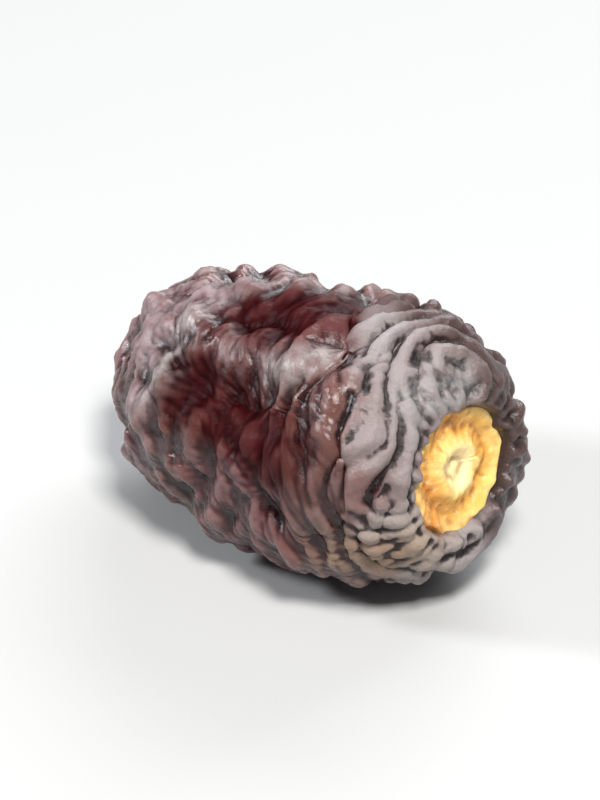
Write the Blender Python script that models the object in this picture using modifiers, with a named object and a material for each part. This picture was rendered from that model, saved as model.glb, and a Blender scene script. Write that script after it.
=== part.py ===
"""An ajwa date lying on its side: the dried, wrinkled fruit and the dry perianth disc in its stem end.

Metres, +Z up. The long axis runs along X with the stem end at +X. That end is the broader one, so it lies a
little higher. The origin is under the middle of the fruit, on the surface that it lies on.

The fruit starts as a cube whose faces are cut into a fine grid and rounded. Formulas then give each point its
place on the plump fruit, the dents, and the folds that the skin shrank into as it dried.
"""

import math

import bmesh
import bpy
import numpy as np
from mathutils import Euler, Matrix, Vector

MM = 0.001

# The whole fruit, as it lies.
LENGTH = 31.0 * MM
WIDTH = 20.2 * MM
HEIGHT = 18.9 * MM
REST_PITCH = math.radians(8.0)  # the broad stem end lies this much higher
FLAT_DEPTH = 0.50 * MM  # how far the soft underside is pressed flat

# The plump fruit before it is wrinkled, with its long axis along X and the stem end at +X.
HALF_LENGTH = 15.4 * MM
HALF_WIDTH = 9.85 * MM
HALF_HEIGHT = 9.2 * MM
STEM_BLUNTNESS = 3.8  # 2 is an ellipsoid, and more is blunter
APEX_BLUNTNESS = 2.15
STEM_TAPER = 0.06  # how much broader than the middle the stem end is
BEND = 0.35 * MM  # the ends curve this far up from the belly
TIP_HEIGHT = 0.7 * MM
TIP_SPREAD = 0.20  # radians round the apex

# The seat of the perianth in the stem end.
SEAT_X = 14.2 * MM
SEAT_RADIUS = 5.05 * MM
SEAT_EDGE = 0.5 * MM
GATHER_RADIUS = 5.3 * MM  # the grid's rings are drawn together round here, so that the seat's wall is steep
GATHER_REACH = 0.6 * MM
GATHER_SHARE = 0.6
RIM_REACH = (5.7 * MM, 6.9 * MM)  # the perianth's surroundings end between these distances from the axis
AXIAL_REACH = (5.5 * MM, 7.1 * MM)  # within these, relief rises along the axis and not along the skin's normal
SHOULDER_HEIGHT = 0.35 * MM
SHOULDER_RADIUS = 6.3 * MM
SHOULDER_SPREAD = 1.2 * MM

# The perianth disc.
DISC_GAP = 0.2 * MM
DISC_RADIUS = 4.4 * MM
DISC_THICKNESS = 1.05 * MM
DISC_STEPS = 48
DISC_LOBES = 3

# The skin's grid: the squares round each side of the starting cube, and the rows along it.
GRID_SIDES = 24
GRID_ROWS = 50
ROW_SHIFT = 0.14  # how far the rows crowd towards the stem end, whose folds are finer
RING_CROWDING = 0.75  # under 1, the stem side's rings crowd outside the seat
ROUND_RINGS = 0.66  # this share of the stem side's grid has round rings
SMOOTHING = 0.15  # how far each point is drawn to its neighbours, against spikes finer than the grid

# Hollows and swellings of the fruit's flesh as (start, end, radius, depth or height) in millimetres: each runs
# along a short line near the surface.
HOLLOWS = (
    ((0.6, -3.4, 8.7), (5.0, 0.4, 9.3), 2.1, 0.95),
    ((-1.0, -8.3, 4.9), (6.9, -8.2, 5.2), 1.9, 0.80),
    ((4.1, 4.7, 8.2), (8.4, -3.0, 8.6), 1.2, 0.70),
    ((8.4, -3.0, 8.6), (12.0, -7.9, 3.4), 1.1, 0.65),
    ((-9.5, -5.6, 3.6), (-7.5, -7.4, 0.6), 1.8, 0.55),
    ((5.5, -9.6, -0.8), (9.0, -9.2, -2.6), 1.6, 0.50),
    ((-6.0, 2.4, 8.4), (-1.0, 6.2, 6.9), 2.2, 0.75),
    ((2.0, 9.8, 1.0), (8.0, 9.4, 3.2), 1.9, 0.75),
    ((-9.0, 7.0, -1.0), (-4.0, 9.0, -2.5), 2.0, 0.60),
    ((11.5, 6.2, 5.8), (12.6, 8.4, 0.5), 1.4, 0.55),
)
SWELLINGS = (
    ((10.6, -6.3, 6.5), (13.4, -7.2, 2.6), 1.8, 0.40),
    ((5.4, -6.0, 7.4), (7.4, -5.0, 8.0), 1.2, 0.35),
    ((-3.3, -8.8, 3.6), (-5.5, -8.2, 2.0), 2.8, 0.40),
    ((-4.5, -1.5, 8.6), (-2.0, 1.0, 9.0), 2.6, 0.45),
    ((3.0, -9.2, -3.6), (6.0, -9.3, -4.0), 2.6, 0.35),
    ((1.5, 0.0, -9.2), (7.0, 0.0, -9.6), 5.5, 0.75),
    ((10.0, 1.0, 8.8), (11.5, 4.0, 7.6), 2.2, 0.35),
    ((-2.0, 9.4, 2.0), (0.0, 9.2, 4.0), 2.6, 0.35),
)
# Single strong ridges as (radius, height, places that the ridge runs through) in millimetres.
RIDGES = (
    (0.90, 0.50, ((4.4, -5.9, 7.4), (6.4, -5.8, 7.6), (7.9, -5.0, 7.9))),
    (0.90, 0.45, ((9.8, 8.3, 4.9), (14.8, 4.4, 4.4))),
    (0.70, 0.55, ((13.0, -8.4, -1.2), (15.0, -5.6, -0.8))),
    (0.70, 0.40, ((4.9, -9.8, -1.8), (4.0, -8.0, -5.6))),
    (0.95, 0.50, ((-5.1, -8.7, 3.0), (-4.6, -7.3, 5.4), (-4.2, -4.9, 7.5))),
    (0.70, 0.40, ((-1.8, -9.8, -0.2), (-0.6, -9.6, -2.0))),
    (0.70, 0.40, ((6.3, -10.0, 0.8), (7.8, -9.6, 2.6))),
    (0.80, 0.40, ((-7.4, -8.6, 0.4), (-7.6, -7.4, -3.9))),
    (0.55, 0.95, ((14.5, -4.5, 4.4), (14.5, -6.0, 2.3), (14.4, -6.4, -1.0), (14.3, -5.2, -3.8))),
    (0.60, 0.95, ((13.1, -5.6, 6.2), (13.1, -7.6, 3.2), (12.9, -8.2, 0.2), (13.2, -7.2, -3.2))),
    (0.60, 0.80, ((10.9, -5.4, 7.6), (10.9, -8.0, 4.9), (10.6, -9.2, 1.6), (11.0, -9.2, -1.4))),
)
RIDGE_ROOM = 1.1  # millimetres from a single ridge within which the other folds stay low
ROLL_SPACING = 11.0 * MM
ROLL_HEIGHT = 0.28 * MM

# The folds of the shrunken skin. They are strongest on the stem end's crumpled cap, lower on the back, and low
# and wide on the calm rest.
FOLD_SPACING = 2.6 * MM
FOLD_HEIGHT = 0.95 * MM
CALM_SHARE = 0.62
BACK_SHARE = 0.7
BACK_REACH = (-1.0 * MM, 5.0 * MM)
WIDE_FOLD_SPACING = 4.6 * MM
WIDE_FOLD_HEIGHT = 0.60 * MM
PUCKER_SPACING = 3.2 * MM
PUCKER_HEIGHT = 0.65 * MM
FACET_SPACING = 5.2 * MM
FACET_HEIGHT = 0.75 * MM
WANDER = 1.1  # radians by which the folds' heading strays
RING_CLOSENESS = 0.84  # the rings' spacing as a share of the other folds'
RING_STRENGTH = 2.4  # how strongly the folds on the stem end's third join into rings
RING_SWAY = 0.85 * MM
FIRST_RING = 10.6 * MM  # the way over the skin from the middle of the stem end to the crest of one ring

# The cap begins at x = CAP_START - CAP_SLANT * y, with y kept within CAP_REACH.
CAP_START = 7.1 * MM
CAP_SLANT = 0.62
CAP_REACH = (-9.0 * MM, 5.0 * MM)
CAP_SOFTNESS = 1.5 * MM
# A smoother place on the cap, as (start, end, radius) in millimetres.
SMOOTH_PLACE = ((14.2, -3.4, 6.2), (14.8, 1.0, 6.2), 1.3)


def unit(vectors):
    """The vectors at length 1."""
    return vectors / np.linalg.norm(vectors, axis=1, keepdims=True)


def smooth_step(low, high, values):
    """0 up to low and 1 from high, with a smooth rise between."""
    t = np.clip((values - low) / (high - low), 0.0, 1.0)
    return t * t * (3.0 - 2.0 * t)


def undulation(points, spacing, seed, waves=28):
    """A smooth random field of about that spacing and of unit spread, made of plane waves."""
    rng = np.random.default_rng(seed)
    pitch = 2.0 * math.pi / spacing * rng.uniform(0.7, 1.3, (waves, 1))
    vectors = unit(rng.normal(size=(waves, 3))) * pitch
    phases = rng.uniform(0.0, 2.0 * math.pi, waves)
    return np.sin(points @ vectors.T + phases).sum(axis=1) / math.sqrt(waves / 2.0)


def plump_surface(directions):
    """Points of the plump fruit for points of the unit sphere."""
    half_axes = np.array((HALF_LENGTH, HALF_WIDTH, HALF_HEIGHT))
    aim = unit(directions * half_axes)
    across = np.hypot(aim[:, 1] / HALF_WIDTH, aim[:, 2] / HALF_HEIGHT)
    along = np.abs(aim[:, 0]) / HALF_LENGTH
    blunt = APEX_BLUNTNESS + (STEM_BLUNTNESS - APEX_BLUNTNESS) * smooth_step(-0.5, 0.8, aim[:, 0])
    reach = (along**blunt + across**blunt) ** (-1.0 / blunt)
    points = aim * reach[:, None]
    share = points[:, 0] / HALF_LENGTH
    points[:, 1:] *= (1.0 + STEM_TAPER * share)[:, None]
    points[:, 2] += BEND * share**2
    from_apex = np.arccos(np.clip(-aim[:, 0], -1.0, 1.0))
    points[:, 0] -= TIP_HEIGHT * np.exp(-((from_apex / TIP_SPREAD) ** 2))
    return points


def outward(points):
    """The plump fruit's outward direction, taken from its half axes."""
    return unit(points / np.array((HALF_LENGTH, HALF_WIDTH, HALF_HEIGHT)) ** 2)


def axis_distance(points):
    """Distance from the long axis."""
    return np.hypot(points[:, 1], points[:, 2])


def seat_share(points):
    """1 on the perianth's seat, 0 outside it, and between on its edge."""
    on_seat = 1.0 - smooth_step(SEAT_RADIUS, SEAT_RADIUS + SEAT_EDGE, axis_distance(points))
    return on_seat * (points[:, 0] > 0.0)


def rim_share(points):
    """1 on the skin right round the perianth and 0 away from it."""
    return (1.0 - smooth_step(*RIM_REACH, axis_distance(points))) * (points[:, 0] > 0.0)


def line_distance(points, start, end):
    """Distance from the line between two places."""
    start, end = np.array(start), np.array(end)
    share = np.clip((points - start) @ (end - start) / ((end - start) ** 2).sum(), 0.0, 1.0)
    return np.linalg.norm(points - start - share[:, None] * (end - start), axis=1)


def broad_form(points):
    """How far hollows, swellings and low rolls move the surface outwards."""
    height = ROLL_HEIGHT * undulation(points, ROLL_SPACING, seed=11)
    for sign, group in ((-1.0, HOLLOWS), (1.0, SWELLINGS)):
        for start, end, radius, depth in group:
            distance = line_distance(points / MM, start, end)
            height += sign * depth * MM * np.exp(-((distance / radius) ** 2))
    return height


def cap_distance(points):
    """How far the points are past the line where the stem end's crumpled cap begins."""
    return points[:, 0] + CAP_SLANT * np.clip(points[:, 1], *CAP_REACH) - CAP_START


def nearness(points, place):
    """1 on a place given as (start, end, radius) in millimetres and 0 away from it."""
    start, end, radius = place
    return np.exp(-((line_distance(points / MM, start, end) / radius) ** 2))


def ridge_height(points):
    """How far the single ridges lift the skin, and 1 along them falling to 0 some way off."""
    height = np.zeros(len(points))
    near_ridge = np.zeros(len(points))
    for radius, rise, places in RIDGES:
        legs = zip(places[:-1], places[1:])
        distance = np.min([line_distance(points / MM, start, end) for start, end in legs], axis=0)
        height = np.maximum(height, rise * MM * np.exp(-((distance / radius) ** 2)))
        near_ridge = np.maximum(near_ridge, np.exp(-((distance / RIDGE_ROOM) ** 2)))
    return height, near_ridge


def packet_centres(spacing, reach, overlap, seed):
    """Random points on the plump fruit, so many that about overlap of them lie within reach of any point."""
    area = 4.0 * math.pi * (HALF_LENGTH * HALF_WIDTH * HALF_HEIGHT) ** (2.0 / 3.0)
    count = int(overlap * area / (math.pi * reach**2))
    rng = np.random.default_rng(seed)
    return plump_surface(unit(rng.normal(size=(count, 3)))), rng


def crossing_directions(points, seed):
    """Unit vectors in the surface that run across the folds.

    The folds point at the perianth close to its edge, ring the fruit over its stem half, wander over its apex
    half and run together at the apex.
    """
    normals = outward(points)
    axis = np.array((1.0, 0.0, 0.0))
    lengthwise = axis - normals * (normals @ axis)[:, None]
    lengthwise /= np.maximum(np.linalg.norm(lengthwise, axis=1, keepdims=True), 1e-6)
    sideways = np.cross(normals, lengthwise)
    by_rim = rim_share(points)
    by_apex = smooth_step(0.10, -0.75, points[:, 0] / HALF_LENGTH)
    turn = np.radians(10.0 + 78.0 * np.maximum(by_rim, by_apex))
    turn += WANDER * undulation(points, 9.0 * MM, seed) * (1.0 - 0.6 * by_rim) * (0.45 + 0.55 * by_apex)
    return lengthwise * np.cos(turn)[:, None] + sideways * np.sin(turn)[:, None]


def ring_share(points):
    """How much of the folds on the stem end's third are rings round the perianth: none elsewhere."""
    return smooth_step(0.28, 0.50, points[:, 0] / HALF_LENGTH) * (1.0 - rim_share(points))


def ring_phase(points, spacing, seed):
    """The phase of waves that run out over the skin from the middle of the stem end, with a slow sway."""
    angles = np.linspace(0.0, math.pi, 400)
    profile = plump_surface(np.stack((np.cos(angles), np.sin(angles), np.zeros(400)), axis=1))
    ways = np.concatenate(([0.0], np.linalg.norm(np.diff(profile, axis=0), axis=1).cumsum()))
    bearings = np.arctan2(axis_distance(profile), profile[:, 0])
    way = np.interp(np.arctan2(axis_distance(points), points[:, 0]), bearings, ways)
    way += RING_SWAY * undulation(points, 8.0 * MM, seed) - FIRST_RING
    return 2.0 * math.pi / spacing * way


def points_near(points, centres, reach):
    """Yields each centre's index and the indices of the points within reach of it along X."""
    order = np.argsort(points[:, 0])
    places = points[order, 0]
    first = np.searchsorted(places, centres[:, 0] - reach)
    last = np.searchsorted(places, centres[:, 0] + reach)
    for index in range(len(centres)):
        yield index, order[first[index] : last[index]]


def folds(points, spacing, seed, overlap, ring_strength):
    """Long parallel folds that branch and end: 1 along their crests and 0 in their creases.

    Wave packets that cross the folds are laid over the skin at random, and the folds follow the phase of their
    sum. Where the packets cancel each other, the skin lies at a middling height.
    """
    reach = 1.5 * spacing
    centres, rng = packet_centres(spacing, reach, overlap, seed)
    phases = rng.uniform(0.0, 2.0 * math.pi, len(centres))
    pitches = 2.0 * math.pi / spacing * rng.uniform(0.85, 1.2, len(centres))
    waves = crossing_directions(centres, seed + 1) * pitches[:, None]
    total = np.zeros(len(points), complex)
    for index, near in points_near(points, centres, reach):
        offset = points[near] - centres[index]
        weight = np.exp(-3.5 * (offset**2).sum(axis=1) / reach**2)
        total[near] += weight * np.exp(1j * (offset @ waves[index] + phases[index]))
    total /= np.abs(total).mean()
    rings = np.exp(1j * ring_phase(points, spacing * RING_CLOSENESS, seed + 2))
    total += ring_strength * ring_share(points) * rings
    crest = 0.5 + 0.5 * np.cos(np.angle(total))
    clear = smooth_step(0.1, 0.8, np.abs(total))
    return crest * clear + 0.35 * (1.0 - clear)


def puckers(points, spacing, seed, stretch=1.7):
    """Shallow hollows that meet in ridges, longer along the folds: 0 in the hollows and 1 on the ridges."""
    reach = 1.6 * spacing
    centres, _ = packet_centres(spacing, reach, 0.95 * (reach / spacing) ** 2 * math.pi, seed)
    across = crossing_directions(centres, seed + 1)
    sharpness = 9.0
    total = np.full(len(points), 1e-9)
    for index, near in points_near(points, centres, reach):
        offset = (points[near] - centres[index]) / spacing
        squared = (offset**2).sum(axis=1) + (stretch**2 - 1.0) * (offset @ across[index]) ** 2
        total[near] += np.exp(-sharpness * squared)
    nearest = np.clip(-np.log(total) / sharpness, 0.0, None)
    return np.clip(nearest / 0.75, 0.0, 1.0)


def calm_share(points):
    """How much of the folds' height is left: none on the seat, less right round it and little underneath."""
    underneath = smooth_step(-0.93, -0.80, outward(points)[:, 2])
    share = (1.0 - seat_share(points)) * (1.0 - 0.45 * rim_share(points)) * (0.25 + 0.75 * underneath)
    return share * (1.0 - 0.5 * nearness(points, SMOOTH_PLACE))


def fold_height(points):
    """How far the folds and puckers lift the skin."""
    on_cap = smooth_step(-CAP_SOFTNESS, CAP_SOFTNESS, cap_distance(points))
    on_back = smooth_step(*BACK_REACH, points[:, 1])
    strong = np.maximum(on_cap, BACK_SHARE * on_back)
    folded = smooth_step(-1.6, 0.9, undulation(points, 7.5 * MM, seed=21) + 2.0 * on_cap)
    ridges, near_ridge = ridge_height(points)
    fold_share = (0.35 + 0.65 * folded) * (CALM_SHARE + (1.0 - CALM_SHARE) * strong)
    fold_share *= 1.0 - 0.75 * near_ridge
    height = ridges + FOLD_HEIGHT * fold_share * folds(points, FOLD_SPACING, 31, 26, RING_STRENGTH) ** 1.5
    height += WIDE_FOLD_HEIGHT * (1.0 - strong) * folds(points, WIDE_FOLD_SPACING, 36, 26, 0.0) ** 1.5
    height += PUCKER_HEIGHT * (1.0 - 0.6 * folded) * puckers(points, PUCKER_SPACING, seed=41)
    height += FACET_HEIGHT * (1.0 - 0.6 * on_cap) * puckers(points, FACET_SPACING, seed=51, stretch=1.3)
    return height * calm_share(points)


def seated(points):
    """Flattens the perianth's seat, makes its wall steep and raises the shoulder round it."""
    share = seat_share(points)
    distance = axis_distance(points)
    at_stem = points[:, 0] > 0.0
    shoulder = SHOULDER_HEIGHT * np.exp(-(((distance - SHOULDER_RADIUS) / SHOULDER_SPREAD) ** 2)) * at_stem
    result = points.copy()
    result[:, 0] = (points[:, 0] + shoulder) * (1.0 - share) + SEAT_X * share
    from_wall = distance - GATHER_RADIUS
    gathered = GATHER_SHARE * np.exp(-((from_wall / GATHER_REACH) ** 2)) * at_stem
    result[:, 1:] *= (1.0 - gathered * from_wall / np.maximum(distance, GATHER_REACH))[:, None]
    return result


def laid_down(points):
    """Turns the fruit to its rest pose and presses its underside flat."""
    turn = np.array(Matrix.Rotation(-REST_PITCH, 3, "Y"))
    result = points @ turn.T
    result[:, 2] = np.maximum(result[:, 2], result[:, 2].min() + FLAT_DEPTH)
    return result


def ball_direction(corner):
    """A point of the cube's surface moved onto the unit ball, so that the points lie evenly on the fruit.

    On the side of the stem end, the square rings of the grid become round near the middle, so that they follow
    the edge of the perianth's seat. They stay round when the ball is stretched to the fruit's size.
    """
    along = corner.x + ROW_SHIFT * (1.0 - corner.x**2)
    x = max(math.tan(along * math.pi / 4.0), along)
    y, z = (math.tan(c * math.pi / 4.0) for c in corner.yz)
    if corner.x > 0.999 and max(abs(y), abs(z)) > 0.0:
        ring = max(abs(corner.y), abs(corner.z))
        radius = math.tan(ring**RING_CROWDING * math.pi / 4.0)
        spread = radius / math.tan(ring * math.pi / 4.0)
        if abs(corner.y) >= abs(corner.z):
            angle = math.pi / 4.0 * corner.z / corner.y + (math.pi if corner.y < 0.0 else 0.0)
        else:
            angle = math.pi / 2.0 - math.pi / 4.0 * corner.y / corner.z + (math.pi if corner.z < 0.0 else 0.0)
        square = float(smooth_step(ROUND_RINGS, 1.0, ring))
        half_girth = math.sqrt(HALF_WIDTH * HALF_HEIGHT)
        y = y * spread * square + radius * math.cos(angle) * (1.0 - square) * half_girth / HALF_WIDTH
        z = z * spread * square + radius * math.sin(angle) * (1.0 - square) * half_girth / HALF_HEIGHT
    return Vector((x, y, z)).normalized()


def cube_grid_mesh(sides, rows):
    """A cube cut into squares and rounded into a ball, with more rows along X because the fruit is long."""
    grid = bmesh.new()
    bmesh.ops.create_cube(grid, size=2.0)
    lengthwise = [edge for edge in grid.edges if abs(edge.verts[0].co.x - edge.verts[1].co.x) > 1.0]
    bmesh.ops.subdivide_edges(grid, edges=lengthwise, cuts=rows - 1)
    crosswise = [edge for edge in grid.edges if abs(edge.verts[0].co.x - edge.verts[1].co.x) < 1e-3]
    bmesh.ops.subdivide_edges(grid, edges=crosswise, cuts=sides - 1, use_grid_fill=True)
    for vertex in grid.verts:
        vertex.co = ball_direction(vertex.co)
    bmesh.ops.recalc_face_normals(grid, faces=grid.faces[:])
    return grid


def vertex_array(grid):
    """The vertices' places as an array."""
    return np.array([vertex.co[:] for vertex in grid.verts])


def place_vertices(grid, points):
    """Moves the vertices to those places."""
    for vertex, point in zip(grid.verts, points):
        vertex.co = point
    grid.normal_update()


def raise_skin(grid, height, lengthwise):
    """Moves each vertex along its own normal, which is turned to +X by that share."""
    for vertex, rise, share in zip(grid.verts, height, lengthwise):
        vertex.co += vertex.normal.lerp(Vector((1.0, 0.0, 0.0)), share) * rise
    grid.normal_update()


def material(name, colour, roughness):
    """A plain Principled material."""
    made = bpy.data.materials.new(name)
    made.use_nodes = True
    shader = made.node_tree.nodes["Principled BSDF"]
    shader.inputs["Base Color"].default_value = (*colour, 1.0)
    shader.inputs["Roughness"].default_value = roughness
    shader.inputs["Metallic"].default_value = 0.0
    made.diffuse_color = (*colour, 1.0)
    return made


def fruit_points(grid):
    """The wrinkled fruit's points in its own axes, for a grid of the unit ball. The grid is moved to them."""
    plump = plump_surface(vertex_array(grid))
    place_vertices(grid, plump)
    by_seat = (1.0 - smooth_step(*AXIAL_REACH, axis_distance(plump))) * (plump[:, 0] > 0.0)
    raise_skin(grid, broad_form(plump), by_seat)
    place_vertices(grid, seated(vertex_array(grid)))
    raise_skin(grid, fold_height(plump), by_seat)
    bmesh.ops.smooth_vert(
        grid, verts=grid.verts[:], factor=SMOOTHING, use_axis_x=True, use_axis_y=True, use_axis_z=True
    )
    return vertex_array(grid)


def add_object(name, mesh, collection, origin):
    """Adds the mesh as an object that hangs from the origin's empty."""
    made = bpy.data.objects.new(name, mesh)
    made.parent = origin
    collection.objects.link(made)
    return made


def build_fruit(collection, origin):
    """Builds the fruit, and gives the scale and shift that brought it to its real size about the origin."""
    grid = cube_grid_mesh(GRID_SIDES, GRID_ROWS)
    points = laid_down(fruit_points(grid))
    low, high = points.min(axis=0), points.max(axis=0)
    size = np.array((LENGTH, WIDTH, HEIGHT))
    scale = size / (high - low)
    shift = -np.array(((low[0] + high[0]) / 2.0, (low[1] + high[1]) / 2.0, low[2])) * scale
    place_vertices(grid, points * scale + shift)
    mesh = bpy.data.meshes.new("date_fruit")
    grid.to_mesh(mesh)
    grid.free()
    mesh.shade_smooth()
    mesh.materials.append(material("date_skin", (0.055, 0.022, 0.024), 0.42))
    add_object("date_fruit", mesh, collection, origin)
    return scale, shift


def disc_profile():
    """The turned perianth's half section from its top middle to its flat back, as (radius, height) shares."""
    return (
        (0.00, 0.66),
        (0.09, 0.62),
        (0.17, 0.50),
        (0.25, 0.88),
        (0.36, 1.00),
        (0.47, 0.80),
        (0.58, 0.52),
        (0.72, 0.56),
        (0.86, 0.92),
        (0.94, 0.86),
        (1.00, 0.55),
        (0.97, 0.22),
        (0.90, 0.00),
        (0.00, 0.00),
    )


def build_perianth(collection, origin, scale, shift):
    """The dry perianth: a disc of three blunt lobes with a raised rim and a ring round the stalk's scar."""
    outline = bmesh.new()
    previous = None
    for radius, height in disc_profile():
        vertex = outline.verts.new((radius * DISC_RADIUS, 0.0, height * DISC_THICKNESS))
        if previous is not None:
            outline.edges.new((previous, vertex))
        previous = vertex
    profile_mesh = bpy.data.meshes.new("perianth_profile")
    outline.to_mesh(profile_mesh)
    outline.free()
    profile = bpy.data.objects.new("perianth_profile", profile_mesh)
    collection.objects.link(profile)
    screw = profile.modifiers.new("turned", "SCREW")
    screw.axis = "Z"
    screw.steps = DISC_STEPS
    screw.render_steps = DISC_STEPS
    screw.use_merge_vertices = True
    screw.merge_threshold = 0.00001
    graph = bpy.context.evaluated_depsgraph_get()
    mesh = bpy.data.meshes.new_from_object(profile.evaluated_get(graph))
    bpy.data.objects.remove(profile)

    turned = bmesh.new()
    turned.from_mesh(mesh)
    bmesh.ops.remove_doubles(turned, verts=turned.verts[:], dist=0.00001)
    bmesh.ops.recalc_face_normals(turned, faces=turned.faces[:])
    for vertex in turned.verts:
        angle = math.atan2(vertex.co.y, vertex.co.x)
        share = math.hypot(vertex.co.x, vertex.co.y) / DISC_RADIUS
        lobe = 0.04 * math.cos(DISC_LOBES * angle + 0.6) + 0.02 * math.cos(7.0 * angle + 1.9)
        vertex.co.x *= 1.0 + lobe * share**2
        vertex.co.y *= 1.0 + lobe * share**2
        rise = 0.10 * math.cos(5.0 * angle + 0.4) + 0.07 * math.cos(11.0 * angle)
        vertex.co.z *= 1.0 + rise * share
    turned.to_mesh(mesh)
    turned.free()
    mesh.name = "perianth"
    mesh.shade_smooth()
    mesh.materials.append(material("perianth_fibre", (0.78, 0.47, 0.13), 0.6))
    perianth = add_object("perianth", mesh, collection, origin)
    seat = Vector((SEAT_X + DISC_GAP, 0.0, 0.0))
    seat.rotate(Euler((0.0, -REST_PITCH, 0.0)))
    perianth.location = Vector(np.array(seat) * scale + shift)
    perianth.rotation_euler = (0.0, math.pi / 2.0 - REST_PITCH, 0.0)


def main():
    for old in list(bpy.data.objects):
        bpy.data.objects.remove(old)
    collection = bpy.data.collections.new("ajwa_date")
    bpy.context.scene.collection.children.link(collection)
    origin = bpy.data.objects.new("ajwa_date_origin", None)
    collection.objects.link(origin)
    scale, shift = build_fruit(collection, origin)
    build_perianth(collection, origin, scale, shift)


if __name__ == "__main__":
    main()
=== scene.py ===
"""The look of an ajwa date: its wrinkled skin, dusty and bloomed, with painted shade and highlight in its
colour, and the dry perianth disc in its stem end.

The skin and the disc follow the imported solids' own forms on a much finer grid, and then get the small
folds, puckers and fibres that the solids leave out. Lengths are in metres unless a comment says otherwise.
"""

import math

import bmesh
import bpy
import numpy as np
from mathutils import Euler, Matrix, Vector


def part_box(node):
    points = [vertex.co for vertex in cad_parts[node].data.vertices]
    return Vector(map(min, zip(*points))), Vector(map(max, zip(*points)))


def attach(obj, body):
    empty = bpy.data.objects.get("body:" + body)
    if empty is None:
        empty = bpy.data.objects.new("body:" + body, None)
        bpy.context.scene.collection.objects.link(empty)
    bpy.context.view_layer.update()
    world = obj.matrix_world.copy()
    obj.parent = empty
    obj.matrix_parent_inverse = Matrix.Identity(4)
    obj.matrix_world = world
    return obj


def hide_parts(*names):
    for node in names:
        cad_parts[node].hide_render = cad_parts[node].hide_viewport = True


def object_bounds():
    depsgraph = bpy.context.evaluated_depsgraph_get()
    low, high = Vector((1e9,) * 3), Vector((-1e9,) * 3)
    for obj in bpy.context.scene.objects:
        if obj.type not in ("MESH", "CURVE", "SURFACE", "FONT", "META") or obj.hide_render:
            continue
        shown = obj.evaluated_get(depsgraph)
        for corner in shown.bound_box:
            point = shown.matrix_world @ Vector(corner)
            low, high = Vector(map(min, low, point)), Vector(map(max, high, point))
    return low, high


MM = 0.001

# The plump fruit before it is wrinkled, with its long axis along X and the stem end at +X.
REST_PITCH = math.radians(8.0)
FLAT_DEPTH = 0.50 * MM
HALF_LENGTH = 15.4 * MM
HALF_WIDTH = 9.85 * MM
HALF_HEIGHT = 9.2 * MM
STEM_BLUNTNESS = 3.8
APEX_BLUNTNESS = 2.15
STEM_TAPER = 0.06
BEND = 0.35 * MM
TIP_HEIGHT = 0.7 * MM
TIP_SPREAD = 0.20

# The seat of the perianth. Its edge lies a little over the disc, so that no gap shows.
SEAT_X = 14.2 * MM
SEAT_RADIUS = 4.60 * MM
SEAT_RAGGEDNESS = 0.14 * MM
SEAT_EDGE = 0.35 * MM
SHOULDER_HEIGHT = 0.35 * MM
SHOULDER_RADIUS = 6.3 * MM
SHOULDER_SPREAD = 1.2 * MM
RIM_REACH = (5.7 * MM, 6.9 * MM)  # the perianth's surroundings end between these distances from the axis
RIM_LOSS = 0.45  # the share of the main folds' height that the surroundings lose
AXIAL_REACH = (5.5 * MM, 7.1 * MM)  # within these, relief rises along the axis and not along the normal

# The perianth disc.
DISC_GAP = 0.2 * MM
DISC_RADIUS = 4.60 * MM
DISC_THICKNESS = 1.05 * MM
DISC_LOBES = 3
DISC_RINGS = 60
DISC_STEPS = 288
DISC_SIDE_ROWS = 8
# The upper side as (share of the radius, share of the thickness).
DISC_PROFILE = ((0.0, 0.62), (0.13, 0.48), (0.34, 1.00), (0.62, 0.46), (0.88, 0.90), (1.0, 0.50))
INNER_PETAL_STEP = 0.16 * MM
OUTER_PETAL_STEP = 0.15 * MM
BUCKLE_HEIGHT = 0.045 * MM
SMALL_BUCKLE_HEIGHT = 0.022 * MM
FIBRE_HEIGHT = 0.012 * MM
# Where the husk is a deeper orange, as shares of the disc's radius (down, towards +Y) with a radius.
WARM_PLACES = (((-0.85, -0.05), 0.34), ((0.62, -0.62), 0.36), ((0.08, -0.62), 0.24))

# The skin's grid.
GRID_SIDES = 96
GRID_ROWS = 192
ROW_SHIFT = 0.14
RING_CROWDING = 0.75
ROUND_RINGS = 0.66
SMOOTHING = 0.5
SMOOTHING_ROUNDS = 3

# Hollows and swellings of the flesh as (start, end, radius, depth or height) in millimetres.
HOLLOWS = (
    ((0.6, -3.4, 8.7), (5.0, 0.4, 9.3), 2.1, 0.95),
    ((-1.0, -8.3, 4.9), (6.9, -8.2, 5.2), 1.9, 0.80),
    ((4.1, 4.7, 8.2), (8.4, -3.0, 8.6), 1.2, 0.70),
    ((8.4, -3.0, 8.6), (12.0, -7.9, 3.4), 1.1, 0.65),
    ((-9.5, -5.6, 3.6), (-7.5, -7.4, 0.6), 1.8, 0.55),
    ((5.5, -9.6, -0.8), (9.0, -9.2, -2.6), 1.6, 0.50),
    ((-6.0, 2.4, 8.4), (-1.0, 6.2, 6.9), 2.2, 0.75),
    ((2.0, 9.8, 1.0), (8.0, 9.4, 3.2), 1.9, 0.75),
    ((-9.0, 7.0, -1.0), (-4.0, 9.0, -2.5), 2.0, 0.60),
    ((11.5, 6.2, 5.8), (12.6, 8.4, 0.5), 1.4, 0.55),
)
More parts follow.
